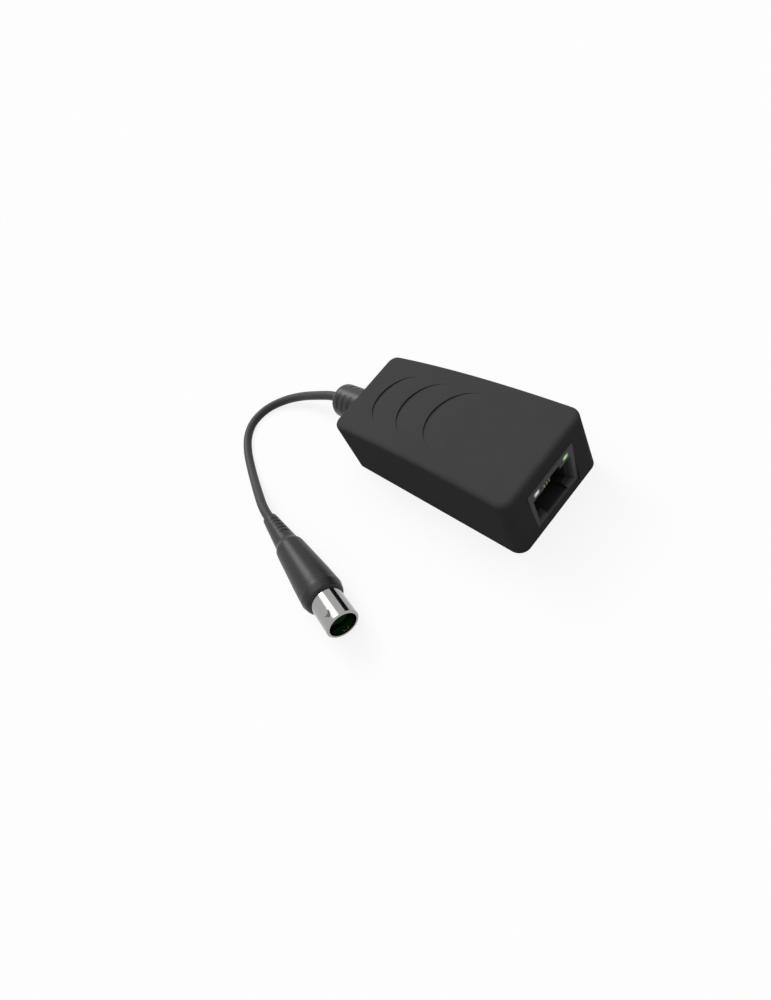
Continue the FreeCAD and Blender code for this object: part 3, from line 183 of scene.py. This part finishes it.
def round_rim(skin, x, radius, width, segments=5):
    """Rounds the rim that runs round the skin at one corner of its outline."""
    rim = [
        edge
        for edge in skin.edges
        if all(
            abs(v.co.x - x * MM) < 1e-6 and abs(from_axis(v.co) - radius * MM) < 1e-6
            for v in edge.verts
        )
    ]
    bmesh.ops.bevel(
        skin,
        geom=rim,
        offset=width * MM,
        segments=segments,
        profile=0.5,
        affect="EDGES",
        material=-1,
    )


# %% [markdown]
# A groove is a smooth dip across its width. Cut off short, its ends would glitter, because soft
# vinyl mirrors the lamp there, so each end fades out over many degrees. Angles run from +Z
# towards -Y, so nought is the top of the piece.


# %% Pressing grooves
FADE = 30
SHARP_RIM = 40


def dip(offset, half_width):
    """One in the middle of a dip and nought at its edge, with no kink between them."""
    t = min(1.0, abs(offset) / half_width)
    return (1 + math.cos(math.pi * t)) / 2


def press(skin, middle, width, depth, centre=0.0, arc=360.0, least=0.0):
    """Presses one groove into the skin. Lengths are in mm and angles in degrees."""
    for vertex in skin.verts:
        across = vertex.co.x / MM - middle
        radius = from_axis(vertex.co)
        if abs(across) > width / 2 or radius < least * MM:
            continue
        angle = math.degrees(math.atan2(-vertex.co.y, vertex.co.z))
        aside = abs((angle - centre + 180) % 360 - 180)
        fade = 1.0 if arc >= 360 else dip(max(0.0, aside - arc / 2 + FADE / 2), FADE)
        keep = 1 - dip(across, width / 2) * fade * depth * MM / radius
        vertex.co.y *= keep
        vertex.co.z *= keep


def to_object(skin, name, place):
    """Moves the skin to its place, shades it smooth between sharp rims, and makes its object."""
    skin.transform(place)
    mesh = bpy.data.meshes.new(name)
    skin.to_mesh(mesh)
    skin.free()
    mesh.shade_smooth()
    mesh.set_sharp_from_angle(angle=math.radians(SHARP_RIM))
    piece = bpy.data.objects.new(name, mesh)
    bpy.context.scene.collection.objects.link(piece)
    low, high = (min(v.co.z for v in mesh.vertices), max(v.co.z for v in mesh.vertices))
    print(name, len(mesh.polygons), "faces, height in mm", round((high - low) / MM, 2))
    return piece


# %% [markdown]
# The strain relief is one moulding with a flange behind the wall, a neck in the wall and a
# grooved barrel outside. Its eight grooves are interrupted, and each is turned a right angle
# against the next, so that it bends alike both ways. The box of its solid gives its two ends.

# %% Strain relief
relief_low, relief_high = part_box("cable_strain_relief")
RELIEF_LENGTH = 19.2
RELIEF_ROOT = 6.4
RELIEF_END = 5.9
RELIEF_FLARE = (RELIEF_ROOT - RELIEF_END) / RELIEF_LENGTH
GROOVES_FROM = 2.8
GROOVES_TO = 15.8
NECK = 4.0
NECK_END = RELIEF_LENGTH + 2.7
FLANGE = 5.5
FLANGE_BACK = (relief_high[0] - relief_low[0]) / MM
BORE = LEAD_DIAMETER / MM / 2 + 0.03
GROOVES = 8
GROOVE_PITCH = 1.5
FIRST_GROOVE = 4.3
GROOVE_WIDTH = 1.1
GROOVE_DEPTH = 0.34
GROOVE_ARC = 46
GROOVE_TURN = 40

relief_skin = turned(
    [
        (0, BORE),
        (0, RELIEF_END),
        (GROOVES_FROM, RELIEF_END + GROOVES_FROM * RELIEF_FLARE),
        (GROOVES_TO, RELIEF_END + GROOVES_TO * RELIEF_FLARE),
        (RELIEF_LENGTH, RELIEF_ROOT),
        (RELIEF_LENGTH, NECK),
        (NECK_END, NECK),
        (NECK_END, FLANGE),
        (FLANGE_BACK, FLANGE),
        (FLANGE_BACK, BORE),
    ],
    fine=[(2, 90)],
)
round_rim(relief_skin, 0, RELIEF_END, 2.4, 8)
for index in range(GROOVES):
    middle = FIRST_GROOVE + index * GROOVE_PITCH
    turn = GROOVE_TURN - 90 * (index % 2)
    for side in (turn, turn + 180):
        press(relief_skin, middle, GROOVE_WIDTH, GROOVE_DEPTH, side, GROOVE_ARC, least=NECK + 1)
round_rim(relief_skin, RELIEF_LENGTH, RELIEF_ROOT, 0.15, 2)
axis_height = (relief_low[2] + relief_high[2]) / 2
relief = to_object(
    relief_skin, "grooved_relief", Matrix.Translation((relief_low[0], 0, axis_height))
)

# %% [markdown]
# The boot is moulded round the lead and the back of the connector. Its slim tail has five
# short grooves on two sides, a low shoulder stops the thumb, and the body swells to a rounded
# nose, with three faint rings before it. It is made along X and then turned to the heading of
# the lead's last run. A Screw modifier could spin it as well, but the grooves have to be
# pressed into a finished skin.

# %% Boot
BOOT_LENGTH = 40.8
TAIL_LENGTH = 14.9
TAIL_END = 2.4
TAIL_ROOT = 3.85
SHOULDER = (16.6, 4.65)
SWELL = (31.5, 5.9)
BODY_END = (38.1, 6.3)
MOUTH = 5.0
MOUTH_DEPTH = 1.0
NOSE_RIM = MOUTH + 0.6
BARREL = 4.84
BARREL_BACK = 32.0
FERRULE = 3.15
FERRULE_BACK = BARREL_BACK - 10.8
TAIL_GROOVES_FROM = 1.6
TAIL_GROOVES_TO = 13.4
TAIL_GROOVES = 5
TAIL_FIRST = 3.35
TAIL_PITCH = 2.0
TAIL_WIDTH = 1.0
TAIL_DEPTH = 0.26
TAIL_ARC = 56
TAIL_TURN = -48
RINGS = 3
FIRST_RING = 35.6
RING_PITCH = 0.75
RING_WIDTH = 0.45
RING_DEPTH = 0.05


def tail_radius(x):
    return TAIL_END + (TAIL_ROOT - TAIL_END) * x / TAIL_LENGTH


boot_skin = turned(
    [
        (0, BORE),
        (0, TAIL_END),
        (TAIL_GROOVES_FROM, tail_radius(TAIL_GROOVES_FROM)),
        (TAIL_GROOVES_TO, tail_radius(TAIL_GROOVES_TO)),
        (TAIL_LENGTH, TAIL_ROOT),
        SHOULDER,
        SWELL,
        BODY_END,
        (BOOT_LENGTH, NOSE_RIM),
        (BOOT_LENGTH, MOUTH),
        (BOOT_LENGTH - MOUTH_DEPTH, MOUTH),
        (BOOT_LENGTH - MOUTH_DEPTH, BARREL),
        (BARREL_BACK, BARREL),
        (BARREL_BACK, FERRULE),
        (FERRULE_BACK, FERRULE),
        (FERRULE_BACK, BORE),
    ],
    fine=[(2, 70), (5, 12), (6, 40)],
)
round_rim(boot_skin, 0, TAIL_END, 0.5, 4)
round_rim(boot_skin, *SHOULDER, 0.5, 5)
round_rim(boot_skin, TAIL_LENGTH, TAIL_ROOT, 0.7, 4)
round_rim(boot_skin, BOOT_LENGTH, NOSE_RIM, 1.0, 6)
for index in range(TAIL_GROOVES):
    middle = TAIL_FIRST + index * TAIL_PITCH
    for side in (TAIL_TURN, TAIL_TURN + 180):
        press(boot_skin, middle, TAIL_WIDTH, TAIL_DEPTH, side, TAIL_ARC, least=TAIL_END)
for index in range(RINGS):
    middle = FIRST_RING + index * RING_PITCH
    press(boot_skin, middle, RING_WIDTH, RING_DEPTH, least=MOUTH)

lead_end, lead_before = (Vector(LEAD_ROUTE[i]) * MM for i in (-1, -2))
plug_way = (lead_end - lead_before).normalized()
heading = math.atan2(plug_way.y, plug_way.x)
boot_place = Matrix.Translation(lead_end) @ Matrix.Rotation(heading, 4, "Z")
boot = to_object(boot_skin, "grooved_boot", boot_place)
print("plug heading in degrees", round(math.degrees(heading), 2))

# %% [markdown]
# A finish here is one Principled shader with three things that the eye expects: a colour that
# drifts a little, a gloss that drifts with it, and a fine grain in the surface. Noise on Object
# coordinates gives all three, and its scale is one over the size of a patch or a grain. Painted
# pictures could do the same, but they need a layout for every piece, and noise needs none.
# Grain, its height and the patches are given in mm.


# %% A helper for finishes
def finish(name, colour, roughness, grain=0.3, height=0.008, drift=0.1, patch=6.0, **plain):
    material = bpy.data.materials.new(name)
    material.use_nodes = True
    nodes, links = material.node_tree.nodes, material.node_tree.links
    shader = nodes["Principled BSDF"]
    shader.inputs["Metallic"].default_value = plain.get("metallic", 0.0)
    shader.inputs["Specular IOR Level"].default_value = plain.get("specular", 0.5)
    place = nodes.new("ShaderNodeTexCoord")
    cloud = nodes.new("ShaderNodeTexNoise")
    cloud.inputs["Scale"].default_value = 1 / (patch * MM)
    cloud.inputs["Detail"].default_value = 4
    links.new(place.outputs["Object"], cloud.inputs["Vector"])
    tint = nodes.new("ShaderNodeMix")
    tint.name = "tint"
    tint.data_type = "RGBA"
    tint.inputs["A"].default_value = (*[c * (1 - drift) for c in colour], 1)
    tint.inputs["B"].default_value = (*[min(1, c * (1 + drift)) for c in colour], 1)
    links.new(cloud.outputs["Fac"], tint.inputs["Factor"])
    links.new(tint.outputs["Result"], shader.inputs["Base Color"])
    gloss = nodes.new("ShaderNodeMapRange")
    gloss.inputs["To Min"].default_value = roughness * 0.88
    gloss.inputs["To Max"].default_value = min(1, roughness * 1.12)
    links.new(cloud.outputs["Fac"], gloss.inputs["Value"])
    links.new(gloss.outputs["Result"], shader.inputs["Roughness"])
    grit = nodes.new("ShaderNodeTexNoise")
    grit.inputs["Scale"].default_value = 1 / (grain * MM)
    grit.inputs["Detail"].default_value = 2
    links.new(place.outputs["Object"], grit.inputs["Vector"])
    bump = nodes.new("ShaderNodeBump")
    bump.inputs["Strength"].default_value = 1.0
    bump.inputs["Distance"].default_value = height * MM
    links.new(grit.outputs["Fac"], bump.inputs["Height"])
    links.new(bump.outputs["Normal"], shader.inputs["Normal"])
    return material


def dress(material, *names):
    """Gives solids, by their names, the one material."""
    for name in names:
        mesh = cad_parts[name].data
        mesh.materials.clear()
        mesh.materials.append(material)
    print(material.name, "on", ", ".join(names))


# %% [markdown]
# The housing and its cover are one moulding compound, a black that is dull from the fine spark
# texture of the mould. Its gloss is weak, so the sides stay dark although the table is white.

# %% Housing plastic
moulding = finish("moulded_black", (0.055, 0.055, 0.056), 0.85, 0.25, 0.006, specular=0.03)
dress(moulding, "housing", "base_cover")

# %% [markdown]
# The socket is another plastic, moulded smooth, and its face is a shade lighter in the
# photograph.
# Its way for the plug looks nearly black, also where a soft light would still reach its walls.
# So shade is painted into its colour, which darkens with the depth behind the face, from
# FACE_DEPTH to WAY_DEPTH.

# %% Socket plastic, with painted shade in the plug's way
FACE_DEPTH = 0.1
WAY_DEPTH = 0.8
WAY_SHADE = 0.22
socket_plastic = finish("socket_black", (0.085, 0.085, 0.086), 0.6, 0.5, 0.002, specular=0.1)
socket_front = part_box("ethernet_jack_body")[1][0]
nodes, links = socket_plastic.node_tree.nodes, socket_plastic.node_tree.links
where = nodes.new("ShaderNodeTexCoord")
split = nodes.new("ShaderNodeSeparateXYZ")
links.new(where.outputs["Object"], split.inputs["Vector"])
# Painted shade: the colour darkens with the depth inside the plug's way, down to WAY_SHADE.
painted_shade_ramp = nodes.new("ShaderNodeMapRange")
painted_shade_ramp.inputs["From Min"].default_value = socket_front - WAY_DEPTH * MM
painted_shade_ramp.inputs["From Max"].default_value = socket_front - FACE_DEPTH * MM
painted_shade_ramp.inputs["To Min"].default_value = WAY_SHADE
links.new(split.outputs["X"], painted_shade_ramp.inputs["Value"])
painted_shade_colour = nodes.new("ShaderNodeVectorMath")
painted_shade_colour.operation = "SCALE"
links.new(nodes["tint"].outputs["Result"], painted_shade_colour.inputs["Vector"])
links.new(painted_shade_ramp.outputs["Result"], painted_shade_colour.inputs["Scale"])
links.new(painted_shade_colour.outputs["Vector"], nodes["Principled BSDF"].inputs["Base Color"])
dress(socket_plastic, "ethernet_jack_body")

# %% [markdown]
# The strain relief and the boot of the plug are soft vinyl, poured round the lead. They are
# smoother than the housing and shine in long soft bands. The jacket of the lead is drawn
# through a die, so it is a little duller and its grain is finer.

# %% Soft blacks
soft = finish("soft_black", (0.018, 0.018, 0.019), 0.37, 0.6, 0.0006, specular=0.27)
jacket = finish("jacket_black", (0.045, 0.045, 0.047), 0.5, 0.2, 0.003, specular=0.2)
dress(soft, "cable_strain_relief", "plug_boot")
dress(jacket, "cable_inside", "cable_plug_end", "coax_cable")
lead.data.materials.append(jacket)
relief.data.materials.append(soft)
boot.data.materials.append(soft)

# %% [markdown]
# Plated metal needs a surround to mirror more than it needs a colour of its own. This white
# table and sky are brighter than a room, so the nickel is written darker than real nickel is.
# Gold and copper tint what they mirror, and tin is a soft grey. The contacts of the socket have
# only a thin flash of gold and lie in the dark, where a full metal has nothing to mirror and
# turns black. So their finish is paler, and it scatters half of the light. The grain of all
# these is far finer than that of plastic.

# %% Metals
nickel = finish("nickel", (0.35, 0.35, 0.345), 0.1, 0.1, 0.0001, 0.03, metallic=1.0)
gold = finish("gold", (0.90, 0.74, 0.44), 0.38, 0.1, 0.0005, 0.05, metallic=1.0)
flash = finish("flash_gold", (0.97, 0.88, 0.66), 0.45, 0.1, 0.0005, 0.05, metallic=0.45)
tin = finish("tin", (0.65, 0.65, 0.66), 0.3, 0.2, 0.002, 0.05, metallic=1.0)
copper = finish("copper", (0.75, 0.38, 0.22), 0.35, 0.2, 0.004, 0.1, metallic=1.0)
dress(nickel, "bnc_barrel", "bnc_crimp_ferrule")
dress(gold, "bnc_centre_contact")
dress(flash, *[f"jack_contact_{i}" for i in range(1, 9)])
dress(tin, "transformer_leads", "arrester_leads", "cable_stop_ring")
dress(copper, "braid_pigtail")

# %% [markdown]
# Each lamp window of the socket is the end of a clear rod that carries the light of a chip on
# the board. The rod looks brightest in the middle of its face, so its colour runs from a pale
# core to a deeper rim, by the distance from the middle of the window. A lamp in the scene would
# light the box as well, and in the photograph the windows light nothing. A faint glow of the
# rod's own colour is enough.


# %% Lamp windows
WINDOW_GLOW = 0.3
WINDOW_SHAPE = 0.7


def window(name, node, core, rim):
    """A finish that runs from core to rim over the window at the front end of a light guide."""
    material = finish(name, rim, 0.3, 0.4, 0.002, specular=0.4)
    nodes, links = material.node_tree.nodes, material.node_tree.links
    low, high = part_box(node)
    half = (high[1] - low[1]) / 2
    face = Vector((high[0], (low[1] + high[1]) / 2, high[2] - half * WINDOW_SHAPE))
    place = nodes.new("ShaderNodeTexCoord")
    away = nodes.new("ShaderNodeVectorMath")
    away.operation = "DISTANCE"
    away.inputs[1].default_value = face
    links.new(place.outputs["Object"], away.inputs[0])
    fade = nodes.new("ShaderNodeMapRange")
    fade.interpolation_type = "SMOOTHSTEP"
    fade.inputs["From Min"].default_value = half * 0.2
    fade.inputs["From Max"].default_value = half * 1.05
    links.new(away.outputs["Value"], fade.inputs["Value"])
    blend = nodes.new("ShaderNodeMix")
    blend.data_type = "RGBA"
    blend.inputs["A"].default_value = (*core, 1)
    links.new(fade.outputs["Result"], blend.inputs["Factor"])
    links.new(nodes["tint"].outputs["Result"], blend.inputs["B"])
    shader = nodes["Principled BSDF"]
    links.new(blend.outputs["Result"], shader.inputs["Base Color"])
    links.new(blend.outputs["Result"], shader.inputs["Emission Color"])
    shader.inputs["Emission Strength"].default_value = WINDOW_GLOW
    dress(material, node)


window("green_window", "link_light_guide", (0.50, 1.0, 0.36), (0.03, 0.24, 0.02))
window("clear_window", "activity_light_guide", (1.0, 1.0, 0.95), (0.30, 0.30, 0.27))

# %% [markdown]
# The insulator deep in the connector is a dark green plastic that hardly shines. The board
# wears a green lacquer, and its parts have their usual finishes: grey ferrite, a glazed white
# tube, red capacitor boxes, and the milky core of the lead.

# %% Insulator and what is inside
insulator = finish("dark_green", (0.004, 0.045, 0.006), 0.7, 0.3, 0.004, specular=0.05)
lacquer = finish("green_lacquer", (0.015, 0.11, 0.035), 0.35, 0.4, 0.004, specular=0.5)
ferrite = finish("ferrite", (0.04, 0.04, 0.043), 0.6, 0.15, 0.01, specular=0.4)
glaze = finish("glazed_white", (0.75, 0.72, 0.66), 0.2, 0.5, 0.002, 0.03)
red_box = finish("red_box", (0.33, 0.03, 0.02), 0.3, 0.4, 0.003)
milky = finish("milky_white", (0.8, 0.8, 0.76), 0.4, 0.4, 0.003, 0.03)
dress(insulator, "bnc_insulator")
dress(lacquer, "circuit_board")
dress(ferrite, "common_mode_choke", "line_transformer", "chip_resistors")
dress(glaze, "surge_arrester", "link_lamp_chip", "activity_lamp_chip")
dress(red_box, "film_capacitor_left", "film_capacitor_right")
dress(milky, "cable_core")

# %% [markdown]
# The lead takes the place of its plain solid and rides on the one body of the object.

# %% Seat the lead
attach(lead, "root")
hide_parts("coax_cable")
for piece, node, slot in (
    (relief, "cable_strain_relief", "strain_relief"),
    (boot, "plug_boot", "plug_boot"),
):
    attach(piece, "root")
    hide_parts(node)
print("lead leaves at", LEAD_ROUTE[0], "and ends at", LEAD_ROUTE[-1])

# %% [markdown]
# The background of the photograph is paper-white, and the object on it is dark. Strong lamps
# could burn the table out to white, but they would wash out the blacks too. So the table and
# the sky are bright only where the camera or a reflection sees them, and the light that they
# throw on the object stays modest. A small share of real paper keeps the object's shadow.

# %% Levels of the table and the sky
PAPER = 0.984
GLOW_SHARE = 0.85
TABLE_BOUNCE = 0.25
SKY_LIGHT = 0.25


# %% A switch for seen rays
def seen_rays(tree):
    """One for a ray from the camera or from a shiny or clear surface, and nought for others."""
    path = tree.nodes.new("ShaderNodeLightPath")
    last = None
    for ray in ("Is Camera Ray", "Is Glossy Ray", "Is Transmission Ray"):
        socket = path.outputs[ray]
        if last is not None:
            either = tree.nodes.new("ShaderNodeMath")
            either.operation = "MAXIMUM"
            tree.links.new(last, either.inputs[0])
            tree.links.new(socket, either.inputs[1])
            socket = either.outputs[0]
        last = socket
    return last


# %% Table
table_mesh = bpy.data.meshes.new("table")
sheet = bmesh.new()
bmesh.ops.create_grid(sheet, x_segments=1, y_segments=1, size=20.0)
sheet.to_mesh(table_mesh)
sheet.free()
table = bpy.data.objects.new("table", table_mesh)
bpy.context.scene.collection.objects.link(table)

paper_look = bpy.data.materials.new("white_paper")
paper_look.use_nodes = True
tree = paper_look.node_tree
paper = tree.nodes["Principled BSDF"]
paper.inputs["Roughness"].default_value = 1.0
paper.inputs["Specular IOR Level"].default_value = 0.0
seen = seen_rays(tree)
shade = tree.nodes.new("ShaderNodeMix")
shade.data_type = "RGBA"
shade.inputs["A"].default_value = (TABLE_BOUNCE, TABLE_BOUNCE, TABLE_BOUNCE, 1)
shade.inputs["B"].default_value = (0.9, 0.9, 0.9, 1)
tree.links.new(seen, shade.inputs["Factor"])
tree.links.new(shade.outputs["Result"], paper.inputs["Base Color"])
glow = tree.nodes.new("ShaderNodeEmission")
glow.inputs["Strength"].default_value = 1.0
share = tree.nodes.new("ShaderNodeMath")
share.operation = "MULTIPLY"
share.inputs[1].default_value = GLOW_SHARE
tree.links.new(seen, share.inputs[0])
blend = tree.nodes.new("ShaderNodeMixShader")
tree.links.new(share.outputs[0], blend.inputs["Fac"])
tree.links.new(paper.outputs["BSDF"], blend.inputs[1])
tree.links.new(glow.outputs["Emission"], blend.inputs[2])
tree.links.new(blend.outputs["Shader"], tree.nodes["Material Output"].inputs["Surface"])
table_mesh.materials.append(paper_look)

# %% Sky
world = bpy.data.worlds.new("studio")
bpy.context.scene.world = world
world.use_nodes = True
tree = world.node_tree
level = tree.nodes.new("ShaderNodeMapRange")
level.inputs["To Min"].default_value = SKY_LIGHT
level.inputs["To Max"].default_value = PAPER
tree.links.new(seen_rays(tree), level.inputs["Value"])
sky = tree.nodes["Background"]
sky.inputs["Color"].default_value = (1, 1, 1, 1)
tree.links.new(level.outputs["Result"], sky.inputs["Strength"])
print("sky seen at", PAPER, "and lighting at", SKY_LIGHT)

# %% [markdown]
# Two soft lights do the work. The wide one hangs almost overhead, so the top is the brightest
# face and both faces towards the camera stay dark, lit by the table alone. The narrower one
# stands behind the strain relief, where the soft mouldings and the barrel mirror it as long
# bright bands. Area lamps near the object would light the table unevenly. A sun with a wide
# disc is as soft, and lights the whole table alike.


# %% Lamps
def soft_sun(name, way, spread, power):
    """A sun that shines from the way given, with a disc so many degrees wide."""
    data = bpy.data.lights.new(name, "SUN")
    data.angle = math.radians(spread)
    data.energy = power
    lamp = bpy.data.objects.new(name, data)
    way = Vector(way).normalized()
    lamp.location = way * 0.5
    lamp.rotation_euler = way.to_track_quat("Z", "Y").to_euler()
    bpy.context.scene.collection.objects.link(lamp)
    level = power * way.z / math.pi
    print(name, "lights a level white face to", round(level, 2))
    return level


overhead = soft_sun("overhead", (-0.13, 0.10, 0.97), 64, 1.5)
behind = soft_sun("behind", (-0.69, 0.20, 0.70), 24, 1.25)
print("with the sky that makes", round(overhead + behind + SKY_LIGHT, 2))
